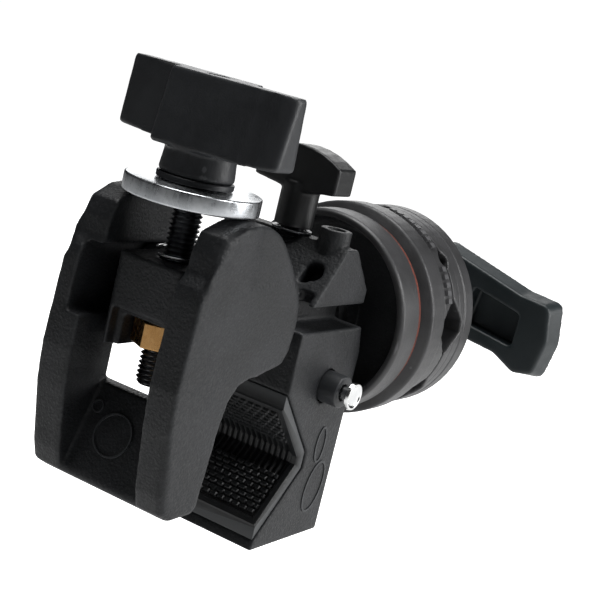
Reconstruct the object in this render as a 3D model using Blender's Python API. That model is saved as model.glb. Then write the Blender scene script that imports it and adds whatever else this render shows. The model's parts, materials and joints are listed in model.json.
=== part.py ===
"""Tube clamp with a forked moving jaw, carrying a grip head on a hexagonal spigot.

Lengths in this file are millimetres and angles are degrees. add_object turns them into metres.
Shapes are written in clamp coordinates: x from the clamp screw's axis towards the grip head,
y across the clamp, z upwards from the grip head's axis. The part's own origin is the centre of a
tube held in the jaw, so CLAMP_ORIGIN shifts every object once.
"""

import math

import bmesh
import bpy
from mathutils import Matrix, Vector

MM = 0.001

# The tube that the jaw holds as drawn, measured from the screw axis and the head axis.
TUBE_X = 22.9
TUBE_Z = -37.4
CLAMP_ORIGIN = Vector((-TUBE_X, 0.0, -TUBE_Z))

# Gap left between two pieces that touch.
GAP = 0.3

# Clamp body.
BODY_HALF_WIDTH = 20.5
WAIST_HALF_WIDTH = 12.0
BODY_FRONT_X = 34.8
BODY_BACK_X = 69.2
BODY_BOTTOM_Z = -61.5
LOWER_BLOCK_TOP_Z = 1.5
UPPER_BLOCK_BOTTOM_Z = 8.4
UPPER_BLOCK_TOP_Z = 24.3
UPPER_BLOCK_BACK_X = 64.5
TONGUE_FRONT_X = -11.0
TONGUE_HALF_WIDTH = 10.3
TONGUE_BOTTOM_Z = -7.5
TONGUE_TOP_Z = 16.8
NUT_POCKET_TOP_Z = 0.9
NUT_POCKET_HALF_WIDTH = 6.9
NUT_WINDOW_TOP_Z = 2.7
NUT_WINDOW_HALF_WIDTH = 8.5

# V seat for the tube, and the pad that lines it.
V_LIP_X = 35.2
V_FLOOR_X = 52.8
V_HALF_HEIGHT = 21.5
V_FLOOR_HALF_HEIGHT = 2.6
PAD_THICKNESS = 2.6
PAD_HALF_WIDTH = 20.0

# Moving jaw: its trunnions, its cam and its plates.
PIVOT_X = 12.0
PIVOT_Z = 8.2
TRUNNION_RADIUS = 8.8
TRUNNION_REACH = 16.1
JAW_HALF_WIDTH = 21.9
JAW_CHANNEL_HALF_WIDTH = 12.7
JAW_EDGE_RADIUS = 2.2
JAW_NOTCH_REACH = 17.3
WEB_TOP_Z = -19.4
CAM_LEVER = 10.8
CAM_HEIGHT = 23.3
CAM_OPEN_ANGLE = -14.0
CAM_CLOSED_ANGLE = 45.0

# Clamp screw group, all on the z axis.
SCREW_RADIUS = 3.95
SCREW_TIP_Z = -16.2
NUT_ACROSS_FLATS = 13.0
NUT_BOTTOM_Z = -6.0
NUT_TOP_Z = 0.6
JAW_WASHER_RADIUS = 17.5
JAW_WASHER_BOTTOM_Z = 31.8
JAW_WASHER_TOP_Z = 36.3
KNOB_WASHER_RADIUS = 9.9
KNOB_COLLAR_RADIUS = 9.5
KNOB_HUB_HALF_LENGTH = 9.8
KNOB_GROOVE_REACH = 20.2
KNOB_BOTTOM_Z = 44.8
KNOB_END_BOTTOM_Z = 45.8
KNOB_TOP_Z = 63.6
KNOB_HALF_LENGTH = 26.6
KNOB_TOP_HALF_DEPTH = 6.2
KNOB_BOTTOM_HALF_DEPTH = 9.4
KNOB_TURN = -88.0

# Lock knob that presses on the spigot.
LOCK_X = 50.4
LOCK_SHAFT_RADIUS = 5.5
LOCK_HEAD_BOTTOM_Z = 36.3
LOCK_HEAD_TOP_Z = 48.8
LOCK_HEAD_HALF_LENGTH = 13.4
LOCK_HEAD_HALF_THICKNESS = 4.7
LOCK_SCREW_RADIUS = 3.9
LOCK_HOLE_RADIUS = 4.3

# Boss beside the lock knob.
BOSS_Y = -14.1
BOSS_RADIUS = 4.4
BOSS_HOLE_RADIUS = 2.5
BOSS_TOP_Z = 28.6

# Safety pin, along y.
PIN_X = 55.0
PIN_Z = -15.3
PIN_RADIUS = 2.0
PIN_HEAD_RADIUS = 4.1
PIN_COLLAR_RADIUS = 3.5
SLEEVE_RADIUS = 4.65
SLEEVE_BORE_RADIUS = 3.9
SLEEVE_OUTER_Y = -26.0
SLEEVE_INNER_Y = -15.9
CATCH_HALF_THICKNESS = 1.0

# Hexagonal spigot in its socket.
SPIGOT_ACROSS_FLATS = 15.8
SOCKET_ACROSS_FLATS = 16.4
SPIGOT_START_X = 42.0
SPIGOT_FLANGE_X = 69.6
SPIGOT_GROOVE_RADIUS = 6.1

# Grip head stations along x.
BASE_FRONT_X = 72.9
BASE_BACK_X = 83.1
BASE_FRONT_RADIUS = 29.6
BASE_BACK_RADIUS = 30.4
CUP_RADIUS = 27.2
CUP_FLOOR_X = 80.2
FRICTION_BACK_X = 84.9
INNER_DISC_START_X = 85.2
INNER_DISC_END_X = 102.8
OUTER_DISC_START_X = 103.3
OUTER_DISC_END_X = 118.0
DISC_RADIUS = 31.75
INNER_BAND_RADIUS = 32.6
SPRING_POCKET_RADIUS = 10.5
BOLT_RADIUS = 4.9
BOLT_HOLE_RADIUS = 5.3
BOLT_END_X = 150.5
# Widths of the grooves that hold rods, by their angle round the x axis from -y towards +z.
ROD_GROOVES = ((4.5, 16.0), (43.0, 6.5), (94.5, 9.5), (-40.5, 12.7))
GUIDE_PIN_ORBIT = 17.5
GUIDE_PIN_RADIUS = 1.9
GUIDE_PIN_ANGLES = (69.0, 249.0)

# Handle of the grip head.
HANDLE_START_X = 134.0
HANDLE_FRONT_X = 144.0
HANDLE_BACK_X = 153.0
HANDLE_HUB_BACK_X = 155.0
HANDLE_HUB_RADIUS = 13.5
HANDLE_TURN = -12.0
HANDLE_DRAFT = 1.4
INSERT_ACROSS_FLATS = 16.0
INSERT_END_X = 146.0

ROUND_STEPS = 40
SMALL_STEPS = 20
WELD_DISTANCE = 0.02


def clear_scene():
    for obj in list(bpy.data.objects):
        bpy.data.objects.remove(obj, do_unlink=True)


def make_material(name, colour, roughness, metallic):
    material = bpy.data.materials.new(name)
    material.use_nodes = True
    shader = material.node_tree.nodes["Principled BSDF"]
    shader.inputs["Base Color"].default_value = (*colour, 1.0)
    shader.inputs["Roughness"].default_value = roughness
    shader.inputs["Metallic"].default_value = metallic
    return material


def make_materials():
    return {
        "cast_paint": make_material("cast_paint", (0.035, 0.037, 0.040), 0.6, 0.0),
        "disc_paint": make_material("disc_paint", (0.040, 0.040, 0.042), 0.5, 0.0),
        "knob_plastic": make_material("knob_plastic", (0.030, 0.031, 0.033), 0.5, 0.0),
        "handle_plastic": make_material("handle_plastic", (0.045, 0.055, 0.058), 0.5, 0.0),
        "pad_rubber": make_material("pad_rubber", (0.020, 0.021, 0.022), 0.7, 0.0),
        "zinc_steel": make_material("zinc_steel", (0.62, 0.64, 0.66), 0.3, 1.0),
        "black_steel": make_material("black_steel", (0.06, 0.06, 0.06), 0.4, 1.0),
        "bright_steel": make_material("bright_steel", (0.75, 0.75, 0.75), 0.2, 1.0),
        "brass": make_material("brass", (0.70, 0.48, 0.20), 0.3, 1.0),
        "friction_fibre": make_material("friction_fibre", (0.45, 0.09, 0.02), 0.8, 0.0),
    }


def add_object(name, shape, material, pivot=(0.0, 0.0, 0.0), smooth=False):
    """Turns a bmesh in clamp coordinates into an object whose origin is at the pivot."""
    bmesh.ops.recalc_face_normals(shape, faces=shape.faces)
    pivot = Vector(pivot)
    shape.transform(Matrix.Diagonal((MM, MM, MM, 1.0)) @ Matrix.Translation(-pivot))
    mesh = bpy.data.meshes.new(name)
    shape.to_mesh(mesh)
    shape.free()
    if smooth:
        mesh.shade_smooth()
        mesh.set_sharp_from_angle(angle=math.radians(35.0))
    obj = bpy.data.objects.new(name, mesh)
    obj.location = (pivot + CLAMP_ORIGIN) * MM
    bpy.context.scene.collection.objects.link(obj)
    if material is not None:
        mesh.materials.append(material)
    return obj


def combine(obj, shape, operation):
    """Adds a Boolean modifier that joins a helper shape to the object, or cuts it away."""
    helper = add_object(f"{obj.name}_helper", shape, None)
    helper.hide_render = True
    helper.display_type = "WIRE"
    modifier = obj.modifiers.new(operation.lower(), "BOOLEAN")
    modifier.operation = operation
    modifier.object = helper


def cut(obj, shape):
    combine(obj, shape, "DIFFERENCE")


def join(obj, shape):
    combine(obj, shape, "UNION")


def weld_cut_objects():
    """Merges the doubled corners that a chain of Booleans can leave."""
    for obj in bpy.data.objects:
        if obj.modifiers:
            weld = obj.modifiers.new("weld", "WELD")
            weld.merge_threshold = WELD_DISTANCE * MM


def place(axis, along, first, second):
    """The point at a distance along one axis, with its two other coordinates in x, y, z order."""
    if axis == "x":
        return Vector((along, first, second))
    if axis == "y":
        return Vector((first, along, second))
    return Vector((first, second, along))


def prism(outline, axis, start, end):
    """An outline swept straight along an axis."""
    shape = bmesh.new()
    near = [shape.verts.new(place(axis, start, *point)) for point in outline]
    far = [shape.verts.new(place(axis, end, *point)) for point in outline]
    shape.faces.new(near)
    shape.faces.new(list(reversed(far)))
    for index in range(len(outline)):
        following = (index + 1) % len(outline)
        shape.faces.new((near[index], near[following], far[following], far[index]))
    return shape


def box(x_range, y_range, z_range):
    (start, end), (low, high) = x_range, z_range
    corners = [(start, low), (end, low), (end, high), (start, high)]
    return prism(corners, "y", *y_range)


def turned(profile, axis, centre=(0.0, 0.0), steps=ROUND_STEPS):
    """A closed profile of (along, radius) points turned about an axis."""
    shape = bmesh.new()
    rings = []
    for along, radius in profile:
        if radius == 0.0:
            rings.append([shape.verts.new(place(axis, along, *centre))])
            continue
        ring = []
        for step in range(steps):
            angle = 2.0 * math.pi * step / steps
            first = centre[0] + radius * math.cos(angle)
            second = centre[1] + radius * math.sin(angle)
            ring.append(shape.verts.new(place(axis, along, first, second)))
        rings.append(ring)
    for index, ring in enumerate(rings):
        following = rings[(index + 1) % len(rings)]
        if len(ring) == 1 and len(following) == 1:
            continue
        for step in range(steps):
            after = (step + 1) % steps
            if len(ring) == 1:
                shape.faces.new((ring[0], following[step], following[after]))
            elif len(following) == 1:
                shape.faces.new((ring[step], ring[after], following[0]))
            else:
                shape.faces.new((ring[step], ring[after], following[after], following[step]))
    return shape


def rod(axis, start, end, radius, centre=(0.0, 0.0), steps=SMALL_STEPS):
    return turned([(start, 0.0), (start, radius), (end, radius), (end, 0.0)], axis, centre, steps)


def tube(axis, start, end, outer, inner, centre=(0.0, 0.0), steps=ROUND_STEPS):
    return turned([(start, inner), (start, outer), (end, outer), (end, inner)], axis, centre, steps)


def polygon_points(sides, across_flats, first_angle=0.0):
    radius = across_flats / 2.0 / math.cos(math.pi / sides)
    angles = [math.radians(first_angle + 360.0 * side / sides) for side in range(sides)]
    return [(radius * math.cos(angle), radius * math.sin(angle)) for angle in angles]


def rounded(outline, radius, steps=4):
    """The outline with each corner replaced by an arc that is tangent to both of its edges."""
    points = []
    count = len(outline)
    for index in range(count):
        corner = Vector(outline[index])
        before = (Vector(outline[index - 1]) - corner)
        after = (Vector(outline[(index + 1) % count]) - corner)
        half = before.angle(after) / 2.0
        reach = min(radius / math.tan(half), 0.45 * before.length, 0.45 * after.length)
        start = corner + before.normalized() * reach
        end = corner + after.normalized() * reach
        for step in range(steps + 1):
            part = step / steps
            point = (1 - part) ** 2 * start + 2 * part * (1 - part) * corner + part ** 2 * end
            points.append(tuple(point))
    return points


def spin_about(shape, axis, angle):
    shape.transform(Matrix.Rotation(math.radians(angle), 4, axis))
    return shape


def v_outline(inset):
    """The tube seat's V, from its upper lip to its lower lip, moved towards the tube by the inset."""
    slope = math.atan2(V_HALF_HEIGHT - V_FLOOR_HALF_HEIGHT, V_FLOOR_X - V_LIP_X)
    floor_x = V_FLOOR_X - inset
    floor_half = V_FLOOR_HALF_HEIGHT - inset * math.tan(slope / 2.0)
    lip_half = floor_half + (floor_x - V_LIP_X) * math.tan(slope)
    return [
        (V_LIP_X, TUBE_Z + lip_half),
        (floor_x, TUBE_Z + floor_half),
        (floor_x, TUBE_Z - floor_half),
        (V_LIP_X, TUBE_Z - lip_half),
    ]


def body_side(outline, half_width):
    return prism(outline, "y", -half_width, half_width)


def make_body(materials):
    lower = [
        (BODY_FRONT_X, LOWER_BLOCK_TOP_Z),
        *v_outline(0.0),
        (BODY_FRONT_X - 0.6, BODY_BOTTOM_Z),
        (BODY_BACK_X, BODY_BOTTOM_Z),
        (BODY_BACK_X, -6.0),
        (BODY_BACK_X - 2.4, LOWER_BLOCK_TOP_Z),
    ]
    upper = [
        (36.6, UPPER_BLOCK_BOTTOM_Z),
        (UPPER_BLOCK_BACK_X, UPPER_BLOCK_BOTTOM_Z),
        (UPPER_BLOCK_BACK_X, 12.5),
        (54.0, UPPER_BLOCK_TOP_Z),
        (48.2, UPPER_BLOCK_TOP_Z),
    ]
    body = add_object("clamp_body", body_side(lower, BODY_HALF_WIDTH), materials["cast_paint"])
    join(body, body_side(upper, BODY_HALF_WIDTH))
    join(body, box((37.5, 65.5), (-WAIST_HALF_WIDTH, WAIST_HALF_WIDTH), (-8.0, 12.0)))
    tongue = rounded(
        [
            (TONGUE_FRONT_X, -TONGUE_HALF_WIDTH),
            (40.0, -TONGUE_HALF_WIDTH),
            (40.0, TONGUE_HALF_WIDTH),
            (TONGUE_FRONT_X, TONGUE_HALF_WIDTH),
        ],
        2.2,
    )
    join(body, prism(tongue, "z", TONGUE_BOTTOM_Z, TONGUE_TOP_Z))
    join(body, rod("y", -TRUNNION_REACH, TRUNNION_REACH, TRUNNION_RADIUS, (PIVOT_X, PIVOT_Z), ROUND_STEPS))
    join(body, rod("z", 18.0, BOSS_TOP_Z, BOSS_RADIUS, (LOCK_X, BOSS_Y)))
    cut(body, rod("z", 20.0, 40.0, BOSS_HOLE_RADIUS, (LOCK_X, BOSS_Y)))
    cut_body_for_screw(body)
    cut_body_for_spigot(body)
    cut_body_for_pin(body)
    cut_body_pockets(body)


def cut_body_for_screw(body):
    cut(body, rod("z", -20.0, 30.0, SCREW_RADIUS + 0.75))
    pocket = [
        (TONGUE_FRONT_X - 5.0, -NUT_POCKET_HALF_WIDTH),
        (8.3, -NUT_POCKET_HALF_WIDTH),
        (8.3, NUT_POCKET_HALF_WIDTH),
        (TONGUE_FRONT_X - 5.0, NUT_POCKET_HALF_WIDTH),
    ]
    cut(body, prism(pocket, "z", -20.0, NUT_POCKET_TOP_Z))
    window = (-NUT_WINDOW_HALF_WIDTH, NUT_WINDOW_HALF_WIDTH)
    cut(body, box((TONGUE_FRONT_X - 5.0, TONGUE_FRONT_X + 3.6), window, (-20.5, NUT_WINDOW_TOP_Z)))


def cut_body_for_spigot(body):
    socket = polygon_points(6, SOCKET_ACROSS_FLATS)
    cut(body, prism(socket, "x", SPIGOT_START_X - 0.4, 90.0))
    cut(body, rod("z", 2.0, 40.0, LOCK_HOLE_RADIUS, (LOCK_X, 0.0)))


def cut_body_for_pin(body):
    centre = (PIN_X, PIN_Z)
    shoulder = SLEEVE_INNER_Y + GAP
    hole = [
        (-40.0, 0.0),
        (-40.0, SLEEVE_RADIUS + GAP),
        (shoulder, SLEEVE_RADIUS + GAP),
        (shoulder, SLEEVE_BORE_RADIUS),
        (-9.1, SLEEVE_BORE_RADIUS),
        (-9.1, 0.0),
    ]
    cut(body, turned(hole, "y", centre, SMALL_STEPS + 4))
    cut(body, box((PIN_X - 1.4, PIN_X + 1.4), (-15.7, -3.0), (-18.4, GAP)))


def cut_body_pockets(body):
    """Cored pockets in the sloping front of the upper block, and the shallow slot across its waist."""
    slope = math.degrees(math.atan2(UPPER_BLOCK_TOP_Z - UPPER_BLOCK_BOTTOM_Z, 48.2 - 36.6))
    for side in (-1.0, 1.0):
        pocket = rounded([(-11.2, 5.2), (-17.4, 9.0), (-16.6, 13.4), (-11.6, 13.0)], 2.2)
        shape = prism([(side * across, up) for across, up in pocket], "x", -3.6, 6.0)
        shape.transform(Matrix.Rotation(math.radians(90.0 - slope), 4, "Y"))
        shape.transform(Matrix.Translation((36.6, 0.0, UPPER_BLOCK_BOTTOM_Z)))
        cut(body, shape)
        cut(body, box((34.0, 40.5), sorted((side * 14.2, side * 18.6)), (7.0, 11.6)))


def make_pad(materials):
    outer = v_outline(GAP)
    inner = v_outline(GAP + PAD_THICKNESS)
    outline = outer + list(reversed(inner))
    add_object("jaw_pad", prism(outline, "y", -PAD_HALF_WIDTH, PAD_HALF_WIDTH), materials["pad_rubber"])


def cam_outline(steps=12):
    """The plates' tops. This involute lowers a flat washer evenly as the jaw closes."""
    points = []
    for step in range(steps + 1):
        angle = math.radians(CAM_OPEN_ANGLE + (CAM_CLOSED_ANGLE - CAM_OPEN_ANGLE) * step / steps)
        height = CAM_HEIGHT - CAM_LEVER * angle
        x = -CAM_LEVER * math.cos(angle) + height * math.sin(angle)
        z = CAM_LEVER * math.sin(angle) + height * math.cos(angle)
        points.append((PIVOT_X + x, PIVOT_Z + z))
    return points


def jaw_outline():
    back_and_lobe = [
        (19.6, 21.6),
        (25.6, 15.4),
        (28.6, 10.0),
        (29.3, 4.0),
        (28.4, -3.0),
        (26.0, -6.6),
        (21.5, -7.7),
        (11.0, -7.7),
        (6.6, -9.2),
        (3.3, -13.4),
        (1.8, -20.0),
    ]
    toe_and_front = [
        (1.8, -41.8),
        (-0.2, -44.0),
        (-8.8, -44.4),
        (-13.0, -42.2),
        (-14.9, -37.0),
        (-17.6, -20.0),
        (-18.4, -10.0),
        (-17.6, 2.0),
        (-17.0, 12.0),
        (-16.5, 15.0),
        (-13.9, 18.4),
        (-13.4, 23.6),
        (-11.6, 28.2),
    ]
    return cam_outline() + back_and_lobe + toe_and_front


def make_jaw(materials):
    shape = prism(jaw_outline(), "y", -JAW_HALF_WIDTH, JAW_HALF_WIDTH)
    rims = [edge for edge in shape.edges if edge.verts[0].co.y == edge.verts[1].co.y]
    bmesh.ops.bevel(shape, geom=rims, offset=JAW_EDGE_RADIUS, segments=3, profile=0.5, affect="EDGES")
    jaw = add_object("moving_jaw", shape, materials["cast_paint"], (PIVOT_X, 0.0, PIVOT_Z))
    channel = [
        (-40.0, 50.0),
        (50.0, 50.0),
        (50.0, WEB_TOP_Z),
        (-2.9, WEB_TOP_Z),
        (-11.6, -41.4),
        (-13.0, -60.0),
        (-40.0, -60.0),
    ]
    cut(jaw, body_side(channel, JAW_CHANNEL_HALF_WIDTH))
    for side in (-1.0, 1.0):
        bevel = [(-2.6, side * 12.0), (3.4, side * 17.4), (12.0, side * 17.4), (12.0, side * 12.0)]
        cut(jaw, prism(bevel, "z", WEB_TOP_Z + 0.02, -8.0))
    slot_half_height = TRUNNION_RADIUS + GAP
    reach = TRUNNION_REACH + GAP
    notch_height = (PIVOT_Z - slot_half_height, PIVOT_Z + slot_half_height)
    cut(jaw, box((-40.0, PIVOT_X), (0.0, JAW_NOTCH_REACH), notch_height))
    cut(jaw, rod("y", -reach, reach, slot_half_height + 0.02, (PIVOT_X, PIVOT_Z), ROUND_STEPS))


def make_clamp_screw_group(materials):
    nut = add_object(
        "clamp_nut",
        prism(polygon_points(6, NUT_ACROSS_FLATS), "z", NUT_BOTTOM_Z, NUT_TOP_Z),
        materials["brass"],
    )
    cut(nut, rod("z", -20.0, 20.0, SCREW_RADIUS + GAP))
    screw_profile = [
        (SCREW_TIP_Z, 0.0),
        (SCREW_TIP_Z, SCREW_RADIUS - 1.0),
        (SCREW_TIP_Z + 1.2, SCREW_RADIUS),
        (57.0, SCREW_RADIUS),
        (57.0, 0.0),
    ]
    add_object("clamp_screw", turned(screw_profile, "z", steps=28), materials["black_steel"], smooth=True)
    washer_profile = [
        (JAW_WASHER_BOTTOM_Z, SCREW_RADIUS + GAP),
        (JAW_WASHER_BOTTOM_Z, JAW_WASHER_RADIUS - 0.5),
        (JAW_WASHER_BOTTOM_Z + 0.5, JAW_WASHER_RADIUS),
        (JAW_WASHER_TOP_Z - 0.5, JAW_WASHER_RADIUS),
        (JAW_WASHER_TOP_Z, JAW_WASHER_RADIUS - 0.5),
        (JAW_WASHER_TOP_Z, SCREW_RADIUS + GAP),
    ]
    add_object("jaw_washer", turned(washer_profile, "z"), materials["zinc_steel"], smooth=True)
    bottom = JAW_WASHER_TOP_Z + GAP
    add_object(
        "knob_washer",
        tube("z", bottom, bottom + 1.6, KNOB_WASHER_RADIUS, SCREW_RADIUS + GAP),
        materials["knob_plastic"],
        smooth=True,
    )
    make_clamp_knob(materials, bottom + 1.6 + GAP)
    make_jaw_spring(materials)


def knob_plan(half_depth, wing_face):
    """The knob from above, as (along, towards) points: a hub with a wing at each end, offset like a Z."""
    half = [
        (-KNOB_HUB_HALF_LENGTH, half_depth),
        (KNOB_GROOVE_REACH - 4.0, half_depth),
        (KNOB_GROOVE_REACH, half_depth - 1.0),
        (KNOB_GROOVE_REACH + 1.6, half_depth - 0.2),
        (KNOB_HALF_LENGTH, half_depth - 0.6),
        (KNOB_HALF_LENGTH, wing_face),
        (KNOB_HUB_HALF_LENGTH + 0.9, wing_face),
    ]
    return rounded(half + [(-along, -towards) for along, towards in half], 1.6, 3)


def make_clamp_knob(materials, collar_bottom):
    shape = prism(knob_plan(KNOB_TOP_HALF_DEPTH, 1.0), "z", KNOB_TOP_Z, KNOB_BOTTOM_Z)
    foot = knob_plan(KNOB_BOTTOM_HALF_DEPTH, -0.4)
    for corner, point in zip(list(shape.verts)[len(foot):], foot):
        out = max(0.0, abs(point[0]) - KNOB_HUB_HALF_LENGTH) / (KNOB_HALF_LENGTH - KNOB_HUB_HALF_LENGTH)
        corner.co = Vector((*point, KNOB_BOTTOM_Z + out * (KNOB_END_BOTTOM_Z - KNOB_BOTTOM_Z)))
    rims = [face for face in shape.faces if len(face.verts) > 4]
    rim_edges = [edge for face in rims for edge in face.edges]
    bmesh.ops.bevel(shape, geom=rim_edges, offset=0.9, segments=2, profile=0.5, affect="EDGES")
    shape.transform(Matrix.Diagonal((1.0, -1.0, 1.0, 1.0)))
    spin_about(shape, "Z", KNOB_TURN)
    knob = add_object("clamp_knob", shape, materials["knob_plastic"], smooth=True)
    collar = [
        (collar_bottom, 0.0),
        (collar_bottom, KNOB_COLLAR_RADIUS - 0.6),
        (collar_bottom + 0.6, KNOB_COLLAR_RADIUS),
        (KNOB_BOTTOM_Z + 4.0, KNOB_COLLAR_RADIUS - 1.0),
        (KNOB_BOTTOM_Z + 4.0, 0.0),
    ]
    join(knob, turned(collar, "z"))
    cut(knob, rod("z", KNOB_TOP_Z - 3.0, KNOB_TOP_Z + 5.0, 2.8))
    cut(knob, rod("z", 20.0, 57.0 + GAP, SCREW_RADIUS + GAP, steps=28))


def make_jaw_spring(materials):
    """A short wire coil round the screw, on top of the tongue."""
    turns = 1.3
    steps = 40
    wire = bpy.data.curves.new("jaw_spring", "CURVE")
    wire.dimensions = "3D"
    wire.bevel_depth = 0.5 * MM
    wire.bevel_resolution = 2
    wire.use_fill_caps = True
    line = wire.splines.new("POLY")
    line.points.add(steps)
    for step in range(steps + 1):
        angle = 2.0 * math.pi * turns * step / steps + math.radians(150.0)
        height = TONGUE_TOP_Z + 0.85 + 1.2 * turns * step / steps
        point = Vector((5.6 * math.cos(angle), 5.6 * math.sin(angle), height)) + CLAMP_ORIGIN
        line.points[step].co = (*(point * MM), 1.0)
    obj = bpy.data.objects.new("jaw_spring", wire)
    wire.materials.append(materials["bright_steel"])
    bpy.context.scene.collection.objects.link(obj)


def make_lock_group(materials):
    centre = (LOCK_X, 0.0)
    pivot = (LOCK_X, 0.0, 0.0)
    ring_bottom = UPPER_BLOCK_TOP_Z + GAP
    outer = LOCK_SHAFT_RADIUS + 0.6
    inner = LOCK_SCREW_RADIUS + GAP
    ring = tube("z", ring_bottom, ring_bottom + 0.9, outer, inner, centre, SMALL_STEPS * 2)
    add_object("lock_ring", ring, materials["black_steel"], pivot, smooth=True)
    shaft_bottom = ring_bottom + 0.9 + GAP
    shaft = turned(
        [
            (shaft_bottom, 0.0),
            (shaft_bottom, LOCK_SHAFT_RADIUS),
            (LOCK_HEAD_BOTTOM_Z + 2.0, LOCK_SHAFT_RADIUS),
            (LOCK_HEAD_BOTTOM_Z + 2.0, 0.0),
        ],
        "z",
        centre,
        28,
    )
    knob = add_object("lock_knob", shaft, materials["knob_plastic"], pivot, smooth=True)
    faces = (LOCK_X - LOCK_HEAD_HALF_THICKNESS, LOCK_X + LOCK_HEAD_HALF_THICKNESS)
    join(knob, prism(lock_head_outline(), "x", *faces))
    cut(knob, rod("z", 10.0, 42.0 + GAP, LOCK_SCREW_RADIUS + GAP, centre))
    tip_top = SPIGOT_ACROSS_FLATS / 2.0 + GAP + 1.6
    screw = rod("z", tip_top + GAP, 42.0, LOCK_SCREW_RADIUS, centre)
    add_object("lock_screw", screw, materials["black_steel"], pivot, smooth=True)
    tip = rod("z", tip_top - 1.6, tip_top, 3.4, centre)
    add_object("lock_tip", tip, materials["brass"], pivot, smooth=True)


def lock_head_outline():
    """The lock knob's head seen along x: a straight underside that slopes up, and a domed top."""
    points = [(-LOCK_HEAD_HALF_LENGTH, LOCK_HEAD_BOTTOM_Z + 1.2), (-4.0, LOCK_HEAD_BOTTOM_Z)]
    points += [(4.0, LOCK_HEAD_BOTTOM_Z), (LOCK_HEAD_HALF_LENGTH, LOCK_HEAD_BOTTOM_Z + 1.2)]
    shoulder = LOCK_HEAD_TOP_Z - 4.0
    for step in range(9):
        part = 1.0 - 2.0 * step / 8.0
        points.append((part * LOCK_HEAD_HALF_LENGTH, shoulder + 4.0 * (1.0 - part ** 2)))
    return points


def make_safety_group(materials):
    centre = (PIN_X, PIN_Z)
    pivot = (PIN_X, 0.0, PIN_Z)
    pin_profile = [
        (-29.8, 0.0),
        (-29.8, PIN_HEAD_RADIUS - 0.5),
        (-29.4, PIN_HEAD_RADIUS),
        (-28.6, PIN_HEAD_RADIUS),
        (-28.4, PIN_RADIUS),
        (-14.2, PIN_RADIUS),
        (-14.2, PIN_COLLAR_RADIUS),
        (-12.6, PIN_COLLAR_RADIUS),
        (-12.6, 0.0),
    ]
    pin = turned(pin_profile, "y", centre, SMALL_STEPS)
    add_object("safety_pin", pin, materials["bright_steel"], pivot, smooth=True)
    sleeve_profile = [
        (SLEEVE_OUTER_Y, PIN_RADIUS + GAP),
        (SLEEVE_OUTER_Y, SLEEVE_RADIUS),
        (SLEEVE_INNER_Y, SLEEVE_RADIUS),
        (SLEEVE_INNER_Y, SLEEVE_BORE_RADIUS),
        (SLEEVE_OUTER_Y + 1.4, SLEEVE_BORE_RADIUS),
        (SLEEVE_OUTER_Y + 1.4, PIN_RADIUS + GAP),
    ]
    sleeve = turned(sleeve_profile, "y", centre, SMALL_STEPS)
    add_object("safety_sleeve", sleeve, materials["knob_plastic"], pivot, smooth=True)
    add_object(
        "safety_spring",
        tube("y", SLEEVE_OUTER_Y + 1.4 + GAP, -14.2 - GAP, 3.5, PIN_RADIUS + GAP, centre, SMALL_STEPS),
        materials["bright_steel"],
        pivot,
        smooth=True,
    )
    catch = [(-12.3, -18.0), (-9.0, -18.0), (-9.0, -8.0), (-6.5, -5.0), (-6.5, 0.0), (-12.3, 0.0)]
    add_object(
        "safety_catch",
        prism(catch, "x", PIN_X - CATCH_HALF_THICKNESS, PIN_X + CATCH_HALF_THICKNESS),
        materials["zinc_steel"],
        pivot,
    )


def make_spigot(materials):
    hexagon = polygon_points(6, SPIGOT_ACROSS_FLATS)
    bar = prism(hexagon, "x", SPIGOT_START_X, SPIGOT_FLANGE_X + 1.0)
    spigot = add_object("spigot", bar, materials["black_steel"])
    groove = tube("x", PIN_X - 1.4, PIN_X + 1.4, 15.0, SPIGOT_GROOVE_RADIUS, steps=28)
    cut(spigot, groove)
    join(spigot, rod("x", SPIGOT_FLANGE_X, 74.0, 11.0, steps=28))
    cut(spigot, rod("x", 62.0, 90.0, BOLT_RADIUS + GAP, steps=28))


def make_base_disc(materials):
    profile = [
        (74.3, BOLT_HOLE_RADIUS),
        (74.3, 10.0),
        (CUP_FLOOR_X, 11.5),
        (CUP_FLOOR_X, CUP_RADIUS - 1.5),
        (CUP_FLOOR_X - 1.5, CUP_RADIUS),
        (BASE_FRONT_X, CUP_RADIUS + 0.8),
        (BASE_FRONT_X, BASE_FRONT_RADIUS - 0.7),
        (BASE_FRONT_X + 0.7, BASE_FRONT_RADIUS),
        (BASE_BACK_X, BASE_BACK_RADIUS),
        (BASE_BACK_X, BOLT_HOLE_RADIUS),
    ]
    add_object("base_disc", turned(profile, "x", steps=64), materials["disc_paint"], smooth=True)
    add_object(
        "friction_disc",
        tube("x", BASE_BACK_X + GAP, FRICTION_BACK_X, BASE_BACK_RADIUS - 0.1, 12.0, steps=64),
        materials["friction_fibre"],
        smooth=True,
    )


def rod_groove(angle, width, face_x):
    """A V groove straight across a jaw disc's face, with its floor a little flat."""
    depth = 0.39 * width
    outline = [
        (face_x - depth, -0.12 * width),
        (face_x, -0.56 * width),
        (face_x + depth, -0.12 * width),
        (face_x + depth, 0.12 * width),
        (face_x, 0.56 * width),
        (face_x - depth, 0.12 * width),
    ]
    groove = prism(outline, "y", -40.0, 40.0)
    return spin_about(groove, "X", -angle)


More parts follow.
